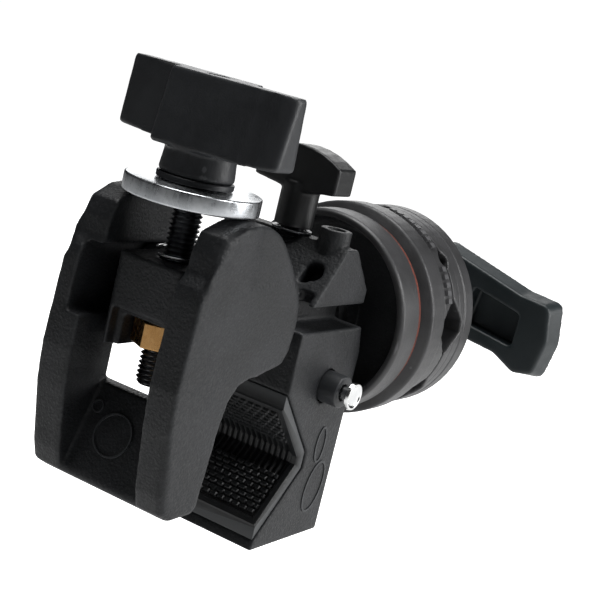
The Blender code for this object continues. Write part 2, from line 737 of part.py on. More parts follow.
def make_jaw_discs(materials):
    middle = (INNER_DISC_END_X + OUTER_DISC_START_X) / 2.0
    pocket_x = INNER_DISC_END_X - 7.5
    inner_profile = [
        (INNER_DISC_START_X, BOLT_HOLE_RADIUS),
        (INNER_DISC_START_X, 28.6),
        (86.2, 30.6),
        (87.0, INNER_BAND_RADIUS - 0.5),
        (87.6, INNER_BAND_RADIUS),
        (95.4, INNER_BAND_RADIUS),
        (96.2, DISC_RADIUS),
        (INNER_DISC_END_X, DISC_RADIUS),
        (INNER_DISC_END_X, SPRING_POCKET_RADIUS),
        (pocket_x, SPRING_POCKET_RADIUS),
        (pocket_x, BOLT_HOLE_RADIUS),
    ]
    disc = turned(inner_profile, "x", steps=64)
    inner = add_object("inner_jaw_disc", disc, materials["disc_paint"], smooth=True)
    outer_pocket_x = OUTER_DISC_START_X + 5.0
    outer_profile = [
        (outer_pocket_x, BOLT_HOLE_RADIUS),
        (outer_pocket_x, SPRING_POCKET_RADIUS),
        (OUTER_DISC_START_X, SPRING_POCKET_RADIUS),
        (OUTER_DISC_START_X, DISC_RADIUS),
        (110.8, DISC_RADIUS),
        (111.1, DISC_RADIUS - 0.35),
        (111.4, DISC_RADIUS),
        (OUTER_DISC_END_X - 1.0, DISC_RADIUS),
        (OUTER_DISC_END_X, DISC_RADIUS - 1.0),
        (OUTER_DISC_END_X, BOLT_HOLE_RADIUS),
    ]
    disc = turned(outer_profile, "x", steps=64)
    outer = add_object("outer_jaw_disc", disc, materials["disc_paint"], smooth=True)
    for angle, width in ROD_GROOVES:
        cut(inner, rod_groove(angle, width, middle))
        cut(outer, rod_groove(angle, width, middle))
    for name, angle in zip(("guide_pin_a", "guide_pin_b"), GUIDE_PIN_ANGLES):
        turn = math.radians(angle)
        centre = (-GUIDE_PIN_ORBIT * math.cos(turn), GUIDE_PIN_ORBIT * math.sin(turn))
        cut(inner, rod("x", 94.0, 120.0, GUIDE_PIN_RADIUS + GAP, centre))
        cut(outer, rod("x", 90.0, 115.0, GUIDE_PIN_RADIUS + GAP, centre))
        pin = rod("x", 94.3, 114.0, GUIDE_PIN_RADIUS, centre)
        add_object(name, pin, materials["bright_steel"], smooth=True)
    add_object(
        "head_spring",
        tube("x", pocket_x + GAP, outer_pocket_x - GAP, 9.4, 7.6, steps=SMALL_STEPS * 2),
        materials["bright_steel"],
        smooth=True,
    )


def make_handle_group(materials):
    bore = BOLT_RADIUS + GAP
    bolt = rod("x", 62.6, BOLT_END_X, BOLT_RADIUS, steps=28)
    add_object("centre_bolt", bolt, materials["zinc_steel"], smooth=True)
    washer = tube("x", 118.3, 120.3, 12.0, bore)
    add_object("thrust_washer", washer, materials["zinc_steel"], smooth=True)
    bearing = tube("x", 120.6, 124.6, 11.0, bore)
    add_object("thrust_bearing", bearing, materials["black_steel"], smooth=True)
    collar_end = HANDLE_START_X - GAP
    collar_profile = [(124.9, bore), (124.9, 12.5), (127.4, 12.5)]
    collar_profile += [(130.5, 9.5), (collar_end, 9.5), (collar_end, bore)]
    add_object("thrust_collar", turned(collar_profile, "x"), materials["zinc_steel"], smooth=True)
    make_handle(materials, bore)
    insert = add_object(
        "handle_insert",
        prism(polygon_points(6, INSERT_ACROSS_FLATS), "x", HANDLE_START_X + 0.5, INSERT_END_X),
        materials["brass"],
    )
    cut(insert, rod("x", 100.0, 170.0, bore, steps=28))


def handle_wing_outline(grown):
    """One wing seen along x, as (outward, upward) points. It sits to one side of the axis."""
    return rounded(
        [
            (-3.0, 20.3 + grown),
            (31.0, 18.7 + grown),
            (41.6 + grown, 20.1 + grown),
            (46.2 + grown, 9.0),
            (46.4 + grown, -2.4 - grown),
            (40.0, -5.2 - grown),
            (31.0, -2.8 - grown),
            (20.0, -3.8 - grown),
            (-3.0, -8.0),
        ],
        3.2,
    )


def make_handle(materials, bore):
    hub_profile = [
        (HANDLE_START_X, 0.0),
        (HANDLE_START_X, 11.5),
        (HANDLE_FRONT_X - 2.0, HANDLE_HUB_RADIUS),
        (HANDLE_HUB_BACK_X - 2.0, HANDLE_HUB_RADIUS),
        (HANDLE_HUB_BACK_X, HANDLE_HUB_RADIUS - 4.0),
        (HANDLE_HUB_BACK_X, 0.0),
    ]
    handle = add_object("grip_handle", turned(hub_profile, "x"), materials["handle_plastic"], smooth=True)
    pocket = rounded([(15.5, 13.1), (33.6, 12.9), (35.8, 2.0), (16.5, 0.8)], 1.0)
    for side in (-1.0, 1.0):
        front = handle_wing_outline(0.0)
        wing = prism(front, "x", HANDLE_FRONT_X, HANDLE_BACK_X)
        for corner, point in zip(list(wing.verts)[len(front):], handle_wing_outline(HANDLE_DRAFT)):
            corner.co = Vector((HANDLE_BACK_X, *point))
        hollow = prism(pocket, "x", HANDLE_FRONT_X - 5.0, HANDLE_BACK_X - 3.0)
        for shape in (wing, hollow):
            shape.transform(Matrix.Diagonal((1.0, -side, side, 1.0)))
            spin_about(shape, "X", -HANDLE_TURN)
        join(handle, wing)
        cut(handle, hollow)
    cavity = polygon_points(6, INSERT_ACROSS_FLATS + 2.0 * GAP)
    cut(handle, prism(cavity, "x", HANDLE_START_X - 4.0, INSERT_END_X + GAP))
    cut(handle, rod("x", 100.0, BOLT_END_X + 1.0, bore, steps=28))


def main():
    clear_scene()
    materials = make_materials()
    make_body(materials)
    make_pad(materials)
    make_jaw(materials)
    make_clamp_screw_group(materials)
    make_lock_group(materials)
    make_safety_group(materials)
    make_spigot(materials)
    make_base_disc(materials)
    make_jaw_discs(materials)
    make_handle_group(materials)
    weld_cut_objects()


main()
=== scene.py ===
import json
import math

import bmesh
import bpy
from mathutils import Matrix, Vector

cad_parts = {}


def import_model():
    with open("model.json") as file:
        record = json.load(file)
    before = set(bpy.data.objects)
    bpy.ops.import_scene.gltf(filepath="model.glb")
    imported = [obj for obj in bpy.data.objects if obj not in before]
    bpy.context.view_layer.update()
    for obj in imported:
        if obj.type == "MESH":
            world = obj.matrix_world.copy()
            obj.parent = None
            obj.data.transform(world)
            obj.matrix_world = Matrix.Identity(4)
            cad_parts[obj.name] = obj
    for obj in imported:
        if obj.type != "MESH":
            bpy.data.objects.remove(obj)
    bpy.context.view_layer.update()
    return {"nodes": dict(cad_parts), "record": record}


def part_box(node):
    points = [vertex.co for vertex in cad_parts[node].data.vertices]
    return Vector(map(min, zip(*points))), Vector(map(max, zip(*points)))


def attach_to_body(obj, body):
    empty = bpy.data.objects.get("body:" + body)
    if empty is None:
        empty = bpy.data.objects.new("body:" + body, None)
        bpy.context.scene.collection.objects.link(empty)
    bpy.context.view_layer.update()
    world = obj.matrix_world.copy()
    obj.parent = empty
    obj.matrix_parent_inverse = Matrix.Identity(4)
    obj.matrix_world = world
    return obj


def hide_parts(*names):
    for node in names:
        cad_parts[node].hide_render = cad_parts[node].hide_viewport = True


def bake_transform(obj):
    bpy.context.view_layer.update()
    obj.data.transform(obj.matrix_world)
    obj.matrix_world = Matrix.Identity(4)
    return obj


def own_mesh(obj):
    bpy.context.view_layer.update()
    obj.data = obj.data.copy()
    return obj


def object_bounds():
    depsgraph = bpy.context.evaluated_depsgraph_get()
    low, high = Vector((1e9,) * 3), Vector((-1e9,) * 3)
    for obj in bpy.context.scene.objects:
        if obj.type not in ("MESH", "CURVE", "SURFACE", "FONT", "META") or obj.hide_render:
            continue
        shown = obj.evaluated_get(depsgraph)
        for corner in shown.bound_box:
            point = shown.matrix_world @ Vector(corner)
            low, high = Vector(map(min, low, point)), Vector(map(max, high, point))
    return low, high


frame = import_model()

MM = 0.001

# Voxel sizes for the rounded copies of CAD nodes, in millimetres.
CASTING_VOXEL = 0.55
MOULDING_VOXEL = 0.42
DISC_VOXEL = 0.34

M8_PITCH = 1.25
M10_PITCH = 1.5
SCREW_HOLE_RADIUS = 4.3
BOLT_HOLE_RADIUS = 5.25
BOSS_Y = -14.1
PIN_RADIUS = 2.0
PAD_SHEET = 2.45
PAD_HALF_WIDTH = 19.9
PAD_FLOOR_HALF = 2.4


def centre_of(node):
    low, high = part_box(node)
    return [(low[axis] + high[axis]) / 2.0 for axis in range(3)]


# Clamp coordinates, in millimetres: x from the clamp screw's axis, z from the grip head's axis.
ORIGIN = Vector((centre_of("jaw_washer")[0], 0.0, centre_of("outer_jaw_disc")[2]))


def world(x, y, z):
    return ORIGIN + Vector((x, y, z)) * MM


# ---------------------------------------------------------------- materials


class Surface:
    """A small builder for one node material."""

    def __init__(self, name, roughness=0.5, metallic=0.0, **sockets):
        self.material = bpy.data.materials.new(name)
        self.material.use_nodes = True
        self.tree = self.material.node_tree
        self.shader = self.tree.nodes["Principled BSDF"]
        self.shader.inputs["Roughness"].default_value = roughness
        self.shader.inputs["Metallic"].default_value = metallic
        for socket, value in sockets.items():
            self.shader.inputs[socket.replace("_", " ")].default_value = value
        self.place = self.tree.nodes.new("ShaderNodeTexCoord").outputs["Object"]

    def node(self, kind, inputs=(), **settings):
        made = self.tree.nodes.new(kind)
        for key, value in settings.items():
            setattr(made, key, value)
        for socket, value in dict(inputs).items():
            if isinstance(value, bpy.types.NodeSocket):
                self.tree.links.new(value, made.inputs[socket])
            else:
                made.inputs[socket].default_value = value
        return made

    def stretched(self, scale):
        return self.node("ShaderNodeMapping", {"Vector": self.place, "Scale": scale}).outputs["Vector"]

    def noise(self, scale, detail=3.0, rough=0.55, place=None):
        inputs = {"Vector": place or self.place, "Scale": scale, "Detail": detail, "Roughness": rough}
        return self.node("ShaderNodeTexNoise", inputs).outputs["Fac"]

    def cells(self, scale):
        return self.node("ShaderNodeTexVoronoi", {"Vector": self.place, "Scale": scale}).outputs["Distance"]

    def ramp(self, value, low, high, low_value=0.0, high_value=1.0):
        inputs = {"Value": value, "From Min": low, "From Max": high}
        inputs.update({"To Min": low_value, "To Max": high_value})
        return self.node("ShaderNodeMapRange", inputs).outputs["Result"]

    def math(self, operation, first, second):
        made = self.node("ShaderNodeMath", {0: first, 1: second}, operation=operation)
        return made.outputs["Value"]

    def mix(self, factor, first, second):
        made = self.node("ShaderNodeMix", {"Factor": factor}, data_type="RGBA")
        for socket, value in ((6, first), (7, second)):
            if isinstance(value, bpy.types.NodeSocket):
                self.tree.links.new(value, made.inputs[socket])
            else:
                made.inputs[socket].default_value = (*value, 1.0)
        return made.outputs[2]

    def edges(self):
        """0 on flats and 1 on sharp convex edges, where paint wears first."""
        return self.ramp(self.node("ShaderNodeNewGeometry").outputs["Pointiness"], 0.52, 0.62)

    def colour(self, value):
        self.tree.links.new(value, self.shader.inputs["Base Color"])

    def rough(self, value):
        self.tree.links.new(value, self.shader.inputs["Roughness"])

    def bump(self, height, distance, strength=1.0, under=None):
        inputs = {"Height": height, "Distance": distance, "Strength": strength}
        if under is not None:
            inputs["Normal"] = under
        normal = self.node("ShaderNodeBump", inputs).outputs["Normal"]
        self.tree.links.new(normal, self.shader.inputs["Normal"])
        return normal


def cast_paint():
    """Black paint on a sand casting: a pebbled grain, broad waves and slightly paler worn edges."""
    made = Surface("cast_black_paint", 0.5, Specular_IOR_Level=0.35)
    grain = made.noise(1500.0, 3.0)
    broad = made.noise(60.0, 2.0)
    base = made.mix(made.ramp(broad, 0.35, 0.65), (0.0075, 0.0085, 0.0095), (0.0145, 0.0155, 0.0175))
    speck = made.ramp(made.noise(2600.0, 2.0), 0.62, 0.74, 0.0, 0.55)
    base = made.mix(speck, base, (0.06, 0.063, 0.068))
    made.colour(made.mix(made.math("MULTIPLY", made.edges(), 0.35), base, (0.085, 0.09, 0.095)))
    made.rough(made.ramp(grain, 0.3, 0.7, 0.40, 0.62))
    under = made.bump(broad, 0.0016, 0.25)
    made.bump(made.math("ADD", grain, made.math("MULTIPLY", made.cells(1100.0), 0.5)), 0.00016, 0.85, under)
    return made.material


def disc_paint():
    """Satin black enamel on turned discs, finer than the casting's."""
    made = Surface("disc_black_enamel", 0.42, Specular_IOR_Level=0.5)
    grain = made.noise(2200.0, 2.0)
    turning = made.noise(900.0, 2.0, place=made.stretched((6.0, 0.6, 0.6)))
    cloud = made.ramp(made.noise(90.0, 3.0), 0.35, 0.65)
    base = made.mix(cloud, (0.025, 0.025, 0.026), (0.041, 0.041, 0.043))
    made.colour(made.mix(made.math("MULTIPLY", made.edges(), 0.5), base, (0.12, 0.12, 0.125)))
    made.rough(made.ramp(turning, 0.3, 0.7, 0.36, 0.50))
    made.bump(made.math("ADD", grain, made.math("MULTIPLY", turning, 0.5)), 0.00007, 0.7)
    return made.material


def moulded(name, dark, pale, rough_low, rough_high, edge):
    """Matt moulded plastic with a spark-eroded grain and slightly polished edges."""
    made = Surface(name, 0.45, Specular_IOR_Level=0.4)
    grain = made.noise(3200.0, 2.0)
    base = made.mix(made.ramp(made.noise(70.0, 3.0), 0.35, 0.65), dark, pale)
    made.colour(made.mix(made.math("MULTIPLY", made.edges(), 0.45), base, edge))
    made.rough(made.ramp(made.noise(400.0, 3.0), 0.3, 0.7, rough_low, rough_high))
    made.bump(grain, 0.00005, 0.6)
    return made.material


def plated(name, dark, pale, rough_low, rough_high, wear):
    """Plated or polished steel with fine streaks, dull clouds and a few dark specks."""
    made = Surface(name, 0.3, 1.0)
    streak = made.noise(700.0, 4.0, place=made.stretched((1.0, 1.0, 0.15)))
    cloud = made.noise(160.0, 5.0, 0.65)
    base = made.mix(made.ramp(cloud, 0.35, 0.7), dark, pale)
    spots = made.ramp(made.noise(900.0, 4.0, 0.7), 0.66, 0.74, 0.0, wear)
    made.colour(made.mix(spots, base, (0.08, 0.075, 0.07)))
    made.rough(made.ramp(made.math("ADD", streak, cloud), 0.7, 1.3, rough_low, rough_high))
    made.bump(streak, 0.00004, 0.6)
    return made.material


def friction_fibre():
    """Dull orange-red pressed fibre."""
    made = Surface("friction_fibre", 0.8)
    fibre = made.noise(1300.0, 4.0, place=made.stretched((1.0, 0.3, 1.0)))
    made.colour(made.mix(made.ramp(fibre, 0.35, 0.65), (0.07, 0.011, 0.006), (0.17, 0.030, 0.012)))
    made.bump(fibre, 0.0001, 0.8)
    return made.material


LOOKS = {
    "cast_paint": cast_paint(),
    "disc_paint": disc_paint(),
    "knob_plastic": moulded(
        "knob_plastic_grain", (0.022, 0.0235, 0.026), (0.030, 0.032, 0.035), 0.36, 0.48, (0.13, 0.135, 0.14)
    ),
    "lock_plastic": moulded(
        "lock_plastic_grain", (0.004, 0.0045, 0.005), (0.008, 0.0085, 0.009), 0.34, 0.46, (0.07, 0.07, 0.075)
    ),
    "handle_plastic": moulded(
        "handle_plastic_grain", (0.012, 0.017, 0.019), (0.018, 0.024, 0.0265), 0.38, 0.5, (0.09, 0.105, 0.11)
    ),
    "pad_rubber": moulded(
        "pad_plastic_grain", (0.006, 0.0065, 0.007), (0.011, 0.012, 0.013), 0.36, 0.5, (0.10, 0.105, 0.11)
    ),
    "zinc_steel": plated("zinc_plate", (0.44, 0.46, 0.48), (0.68, 0.70, 0.72), 0.2, 0.38, 0.7),
    "black_steel": plated("black_oxide_steel", (0.05, 0.052, 0.055), (0.13, 0.135, 0.14), 0.28, 0.42, 0.5),
    "bright_steel": plated("bright_steel", (0.72, 0.73, 0.73), (0.88, 0.88, 0.87), 0.10, 0.22, 0.25),
    "brass": plated("turned_brass", (0.42, 0.23, 0.085), (0.66, 0.40, 0.17), 0.2, 0.36, 0.35),
    "friction_fibre": friction_fibre(),
}
OWN_LOOKS = {look.name for look in LOOKS.values()}
SLOT_OF = {entry["node"]: entry["material_slot"] for entry in frame["record"]["subparts"]}
BODY_OF = {
    node: body
    for body, nodes in frame["record"]["behaviour"]["bodies"].items()
    for node in nodes
}


def dress_cad_nodes():
    for name, node in frame["nodes"].items():
        look = LOOKS[SLOT_OF[name]]
        if not node.material_slots:
            node.data.materials.append(look)
        for material_slot in node.material_slots:
            material_slot.material = look


# ---------------------------------------------------------------- mesh helpers


def add_piece(name, mesh):
    piece = bpy.data.objects.new(name, mesh)
    bpy.context.scene.collection.objects.link(piece)
    return piece


def from_bmesh(name, shape, smooth_angle=None):
    bmesh.ops.recalc_face_normals(shape, faces=shape.faces)
    mesh = bpy.data.meshes.new(name)
    shape.to_mesh(mesh)
    shape.free()
    if smooth_angle is not None:
        mesh.shade_smooth()
        mesh.set_sharp_from_angle(angle=math.radians(smooth_angle))
    return add_piece(name, mesh)


def apply_modifiers(piece):
    graph = bpy.context.evaluated_depsgraph_get()
    mesh = bpy.data.meshes.new_from_object(piece.evaluated_get(graph))
    piece.modifiers.clear()
    piece.data = mesh
    return piece


def copy_of(node, name):
    graph = bpy.context.evaluated_depsgraph_get()
    return add_piece(name, bpy.data.meshes.new_from_object(frame["nodes"][node].evaluated_get(graph)))


def soften(piece, voxel, rounds):
    """Rebuilds the mesh evenly and rounds every edge, as on a casting or a moulding."""
    remesh = piece.modifiers.new("even", "REMESH")
    remesh.mode = "VOXEL"
    remesh.voxel_size = voxel * MM
    remesh.use_smooth_shade = True
    smooth = piece.modifiers.new("round", "SMOOTH")
    smooth.factor = 0.5
    smooth.iterations = rounds
    return apply_modifiers(piece)


def carve(piece, cutter, operation="DIFFERENCE"):
    modifier = piece.modifiers.new("carve", "BOOLEAN")
    modifier.operation = operation
    modifier.object = cutter
    apply_modifiers(piece)
    bpy.data.objects.remove(cutter, do_unlink=True)
    return piece


def stand_for(piece, *nodes):
    """The piece takes the place, body and material slot of its CAD nodes. It keeps a look of its own."""
    slot_name = SLOT_OF[nodes[0]]
    materials = piece.data.materials
    if not materials:
        materials.append(LOOKS[slot_name])
    for index, material in enumerate(materials):
        if material is None or material.name not in OWN_LOOKS:
            materials[index] = LOOKS[slot_name]
    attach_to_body(piece, BODY_OF[nodes[0]])
    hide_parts(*nodes)
    return piece


def attach(piece, body, slot_name):
    """A small extra piece, which stands for no CAD node of its own."""
    piece.data.materials.append(LOOKS[slot_name])
    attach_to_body(piece, body)


def on_axis(axis, along, across, up):
    """(x, y, z) of a point given along an axis and across it."""
    if axis == "x":
        return (along, across, up)
    if axis == "y":
        return (across, along, up)
    return (across, up, along)


def rounded_profile(profile, radius, steps=4):
    """A closed (along, radius) profile with each corner turned into a small arc."""
    points = []
    count = len(profile)
    for index in range(count):
        corner = Vector(profile[index])
        before = Vector(profile[index - 1]) - corner
        after = Vector(profile[(index + 1) % count]) - corner
        reach = min(radius, 0.4 * before.length, 0.4 * after.length)
        if corner.y == 0.0:
            points.append(tuple(corner))
            continue
        start = corner + before.normalized() * reach
        end = corner + after.normalized() * reach
        for step in range(steps + 1):
            part = step / steps
            point = (1 - part) ** 2 * start + 2 * part * (1 - part) * corner + part ** 2 * end
            points.append(tuple(point))
    return points


def lathe(name, profile, axis, centre=(0.0, 0.0), edge=0.4, segments=96):
    """A turned piece. The centre is given in clamp coordinates, in x, y, z order without the axis."""
    shape = bmesh.new()
    rings = []
    for along, radius in rounded_profile(profile, edge):
        if radius == 0.0:
            rings.append([shape.verts.new(world(*on_axis(axis, along, *centre)))])
            continue
        ring = []
        for step in range(segments):
            angle = 2.0 * math.pi * step / segments
            across = centre[0] + radius * math.cos(angle)
            up = centre[1] + radius * math.sin(angle)
            ring.append(shape.verts.new(world(*on_axis(axis, along, across, up))))
        rings.append(ring)
    for index, ring in enumerate(rings):
        following = rings[(index + 1) % len(rings)]
        if len(ring) == 1 and len(following) == 1:
            continue
        for step in range(segments):
            after = (step + 1) % segments
            corners = {ring[step % len(ring)], ring[after % len(ring)]}
            loop = [ring[step % len(ring)], ring[after % len(ring)]]
            if len(corners) == 1:
                loop = [ring[0]]
            loop.append(following[after % len(following)])
            if len(following) > 1:
                loop.append(following[step])
            shape.faces.new(loop)
    return from_bmesh(name, shape, 40.0)


def prism(name, outline, axis, start, end):
    """A flat outline pushed along an axis, from start to end."""
    shape = bmesh.new()
    near = [shape.verts.new(world(*on_axis(axis, start, *point))) for point in outline]
    far = [shape.verts.new(world(*on_axis(axis, end, *point))) for point in outline]
    shape.faces.new(near)
    shape.faces.new(list(reversed(far)))
    for index in range(len(outline)):
        following = (index + 1) % len(outline)
        shape.faces.new((near[index], near[following], far[following], far[index]))
    return from_bmesh(name, shape)


def polygon(sides, across_flats):
    radius = across_flats / 2.0 / math.cos(math.pi / sides)
    angles = [2.0 * math.pi * side / sides for side in range(sides)]
    return [(radius * math.cos(angle), radius * math.sin(angle)) for angle in angles]


def bevelled(piece, width):
    bevel = piece.modifiers.new("bevel", "BEVEL")
    bevel.width = width * MM
    bevel.segments = 3
    bevel.limit_method = "ANGLE"
    bevel.angle_limit = math.radians(30.0)
    bevel.harden_normals = True
    piece.data.shade_smooth()
    return apply_modifiers(piece)


def threaded(name, axis, start, end, radius, pitch, centre=(0.0, 0.0)):
    """A rod with a real helical thread and a chamfer at each end."""
    shape = bmesh.new()
    segments, rings_per_pitch = 40, 9
    depth = 0.6 * pitch
    count = max(2, int((end - start) / pitch * rings_per_pitch))
    rings = []
    for index in range(count + 1):
        along = start + (end - start) * index / count
        chamfer = max(0.0, 0.9 - min(along - start, end - along))
        ring = []
        for step in range(segments):
            turn = step / segments
            phase = (along / pitch - turn) % 1.0
            flank = min(1.0, max(0.0, abs(2.0 * phase - 1.0) * 1.25 - 0.12))
            here = min(radius - depth * (1.0 - flank), radius - chamfer)
            across = centre[0] + here * math.cos(2.0 * math.pi * turn)
            up = centre[1] + here * math.sin(2.0 * math.pi * turn)
            ring.append(shape.verts.new(world(*on_axis(axis, along, across, up))))
        rings.append(ring)
    for low, high in zip(rings, rings[1:]):
        for step in range(segments):
            after = (step + 1) % segments
            shape.faces.new((low[step], low[after], high[after], high[step]))
    shape.faces.new(rings[0])
    shape.faces.new(list(reversed(rings[-1])))
    return from_bmesh(name, shape, 50.0)


def wire_coil(name, axis, start, end, radius, wire, turns, centre=(0.0, 0.0), first=0.0):
    """A round wire bent into a helix, closed at both ends."""
    shape = bmesh.new()
    steps = int(turns * 28)
    around = 10
    rings = []
    for index in range(steps + 1):
        part = index / steps
        angle = first + 2.0 * math.pi * turns * part
        along = start + (end - start) * part
        ring = []
        for step in range(around):
            tilt = 2.0 * math.pi * step / around
            reach = radius + wire * math.cos(tilt)
            across = centre[0] + reach * math.cos(angle)
            up = centre[1] + reach * math.sin(angle)
            ring.append(shape.verts.new(world(*on_axis(axis, along + wire * math.sin(tilt), across, up))))
        rings.append(ring)
    for low, high in zip(rings, rings[1:]):
        for step in range(around):
            after = (step + 1) % around
            shape.faces.new((low[step], low[after], high[after], high[step]))
    shape.faces.new(rings[0])
    shape.faces.new(list(reversed(rings[-1])))
    return from_bmesh(name, shape, 60.0)


def raised_ring(name, centre, first, second, radius_first, radius_second, width, height):
    """A shallow raised band that follows an ellipse on a flat face. It has a rounded section."""
    shape = bmesh.new()
    first = Vector(first).normalized()
    second = Vector(second).normalized()
    out = first.cross(second)
    section = [(-width / 2.0, -0.3), (-width / 3.0, height), (width / 3.0, height), (width / 2.0, -0.3)]
    rings = []
    steps = 72
    for index in range(steps):
        angle = 2.0 * math.pi * index / steps
        ring = []
        for aside, up in section:
            point = first * ((radius_first + aside) * math.cos(angle))
            point += second * ((radius_second + aside) * math.sin(angle))
            ring.append(shape.verts.new(world(*(Vector(centre) + point + out * up))))
        rings.append(ring)
    for index, ring in enumerate(rings):
        following = rings[(index + 1) % steps]
        for step in range(4):
            after = (step + 1) % 4
            shape.faces.new((ring[step], ring[after], following[after], following[step]))
    return from_bmesh(name, shape, 60.0)


def shift_points(piece, move):
    """Moves each point by move(x, y, z) -> new (x, y, z), in clamp millimetres."""
    for vertex in piece.data.vertices:
        old = (vertex.co - ORIGIN) / MM
        vertex.co = world(*move(old.x, old.y, old.z))
    piece.data.update()


def between(low, high, value):
    """0 below low, 1 above high, and smooth between."""
    part = min(1.0, max(0.0, (value - low) / (high - low)))
    return part * part * (3.0 - 2.0 * part)


# ---------------------------------------------------------------- the clamp


def make_body():
    body = soften(copy_of("clamp_body", "body_casting"), CASTING_VOXEL, 3)
    catch_x = (centre_of("safety_catch")[0] - ORIGIN.x) / MM
    slot = [(-15.75, -18.55), (-3.0, -18.55), (-3.0, 0.45), (-15.75, 0.45)]
    carve(body, prism("catch_slot", slot, "x", catch_x - 1.5, catch_x + 1.5))
    stand_for(body, "clamp_body")
    upper = ((59.5, -20.45, -33.5), (0, 0, 1), (1, 0, 0), 5.2, 2.3)
    lower = ((61.4, -20.45, -46.6), (0.25, 0, 1), (1, 0, -0.25), 7.6, 4.4)
    for name, oval in (("body_mark_size", upper), ("body_mark_oval", lower)):
        attach(raised_ring(name, *oval, 0.7, 0.35), "clamp", "cast_paint")
    centre = ((centre_of("lock_screw")[0] - ORIGIN.x) / MM, BOSS_Y)
    profile = [(20.2, 2.6), (20.2, 4.5), (28.55, 4.4), (28.55, 2.6)]
    attach(lathe("boss_tube", profile, "z", centre, 0.3, 48), "clamp", "cast_paint")


def make_jaw():
    """The jaw's casting, whose plates taper slightly ahead of a crease and beside the lobe."""
    jaw = soften(copy_of("moving_jaw", "jaw_casting"), CASTING_VOXEL, 4)

    def crease_x(z):
        return -5.4 if z > 32.0 else 1.6 - 5.6 * between(15.5, 28.0, z)

    def shape(x, y, z):
        side = abs(y)
        if side < 18.5:
            return x, y, z
        weight = between(18.5, 21.0, side)
        ahead = max(0.0, crease_x(z) - x)
        inset = 0.02 * ahead
        above = between(14.0, 18.5, z)
        inset += 0.5 * above * between(-2.0, 6.0, x)
        if y > 0.0:
            inset -= 0.7
        return x, math.copysign(side - inset * weight, y), z

    shift_points(jaw, shape)
    stand_for(jaw, "moving_jaw")
    slope = Vector((-8.7, 0.0, -22.0)).normalized()
    ring = raised_ring("jaw_plain_ring", (-7.35, 2.4, -30.2), (0, 1, 0), slope, 5.6, 5.6, 0.6, 0.3)
    attach(ring, "jaw", "cast_paint")
    dot = raised_ring("jaw_ejector_mark", (-5.35, 10.4, -25.2), (0, 1, 0), slope, 1.6, 1.6, 0.45, 0.2)
    attach(dot, "jaw", "cast_paint")


def pad_height(along, across, half_path):
    """Height of the pad's tread above its base sheet, from the distance along the V and across it."""
    distance = abs(along)
    edge = min(20.0 - abs(across), half_path - distance)
    if edge < 2.6:
        return 0.55 * between(0.0, 0.5, edge) * (1.0 - between(2.0, 2.6, edge))
    if distance < 6.0:
        fin = 0.5 + 0.5 * math.cos(2.0 * math.pi * across / 1.9)
        return -0.75 + 0.8 * between(0.45, 0.9, fin)
    row_pitch, brick = 1.75, 2.6
    row = math.floor((distance - 6.0) / row_pitch)
    in_row = (distance - 6.0) / row_pitch - row
    in_brick = (across / brick + 0.5 * (row % 2)) % 1.0
    up = between(0.04, 0.2, in_row) * (1.0 - between(0.7, 0.86, in_row))
    side = between(0.04, 0.14, in_brick) * (1.0 - between(0.80, 0.90, in_brick))
    margin = between(2.8, 3.3, 20.0 - abs(across)) * between(2.8, 3.3, half_path - distance)
    return 0.6 * up * side * margin - 0.15


def make_pad():
    """The pad that lines the V: a bent sheet with a smooth rim, rows of small bricks and a finned floor."""
    low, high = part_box("jaw_pad")
    lip_x = (low[0] - ORIGIN.x) / MM
    outer_floor_x = (high[0] - ORIGIN.x) / MM
    middle = ((low[2] + high[2]) / 2.0 - ORIGIN.z) / MM
    outer_half = (high[2] - low[2]) / 2.0 / MM
    slope = math.atan2(outer_half - PAD_FLOOR_HALF, outer_floor_x - lip_x)
    floor_x = outer_floor_x - PAD_SHEET
    floor_half = PAD_FLOOR_HALF - PAD_SHEET * math.tan(slope / 2.0)
    flank = (floor_x - lip_x) / math.cos(slope)
    half_path = floor_half + flank
    rows, columns = 300, 230
    shape = bmesh.new()
    grid = []
    for row in range(rows + 1):
        along = -half_path + 2.0 * half_path * row / rows
        distance = abs(along)
        sign = 1.0 if along >= 0.0 else -1.0
        past = max(0.0, distance - floor_half)
        x = floor_x - past * math.cos(slope)
        z = middle + sign * (min(distance, floor_half) + past * math.sin(slope))
        bend = between(floor_half - 1.0, floor_half + 1.0, distance)
        normal = Vector((-(1.0 - bend) - bend * math.sin(slope), -sign * bend * math.cos(slope))).normalized()
        line = []
        for column in range(columns + 1):
            across = -PAD_HALF_WIDTH + 2.0 * PAD_HALF_WIDTH * column / columns
            height = pad_height(along, across, half_path)
            line.append(shape.verts.new(world(x + normal.x * height, across, z + normal.y * height)))
        grid.append(line)
    for row in range(rows):
        for column in range(columns):
            here, following = grid[row], grid[row + 1]
            shape.faces.new((here[column], following[column], following[column + 1], here[column + 1]))
    back = []
    for x, z in (
        (lip_x, middle - outer_half + 0.1),
        (outer_floor_x, middle - PAD_FLOOR_HALF),
        (outer_floor_x, middle + PAD_FLOOR_HALF),
        (lip_x, middle + outer_half - 0.1),
    ):
        back.append([shape.verts.new(world(x, side * PAD_HALF_WIDTH, z)) for side in (-1.0, 1.0)])
    for low_pair, high_pair in zip(back, back[1:]):
        shape.faces.new((low_pair[0], low_pair[1], high_pair[1], high_pair[0]))
    shape.faces.new((back[0][0], back[0][1], *[grid[0][column] for column in range(columns, -1, -1)]))
    shape.faces.new((back[3][1], back[3][0], *[grid[rows][column] for column in range(columns + 1)]))
    for side, column in ((0, 0), (1, columns)):
        ends = [pair[side] for pair in back]
        shape.faces.new((*ends, *[grid[row][column] for row in range(rows, -1, -1)]))
    stand_for(from_bmesh("pad_tread", shape, 35.0), "jaw_pad")


